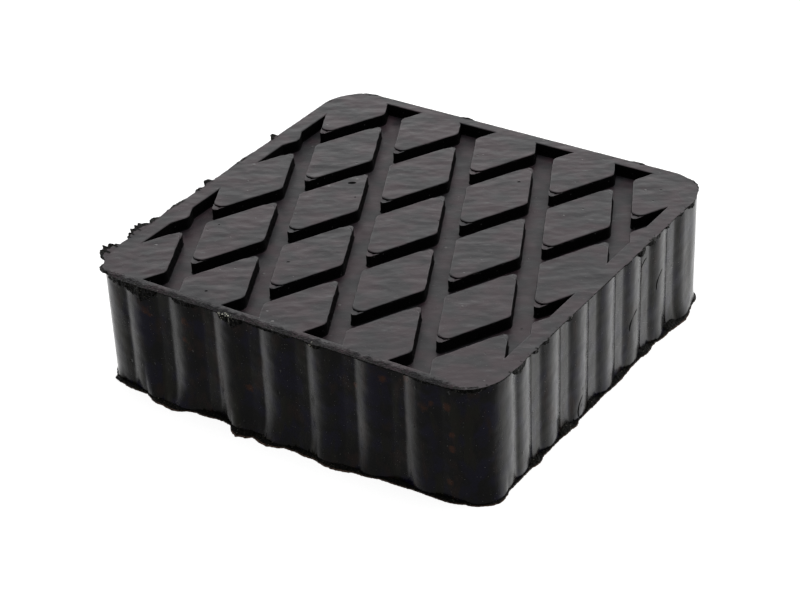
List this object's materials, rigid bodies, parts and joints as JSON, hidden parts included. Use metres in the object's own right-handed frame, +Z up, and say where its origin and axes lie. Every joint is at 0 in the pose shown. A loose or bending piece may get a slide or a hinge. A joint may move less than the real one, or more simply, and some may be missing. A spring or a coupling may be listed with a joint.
{
  "type": "rubber lifting pad",
  "caption": "Square block of moulded black rubber with ribbed sides and a tread of raised rhombic studs, laid between a lifting arm or jack and a load.",
  "frame": {"origin": "middle of the flat underside", "axes": "+Z up out of the studded face, +X along the front face to the right, +Y from the front face to the back face"},
  "size_m": [0.16, 0.16, 0.045],
  "materials": {
    "black_rubber": "semi-matt moulded rubber with bloom, torn mould flash and small nicks"
  },
  "bodies": {
    "root": {"rubber_pad": "black_rubber"}
  },
  "joints": []
}
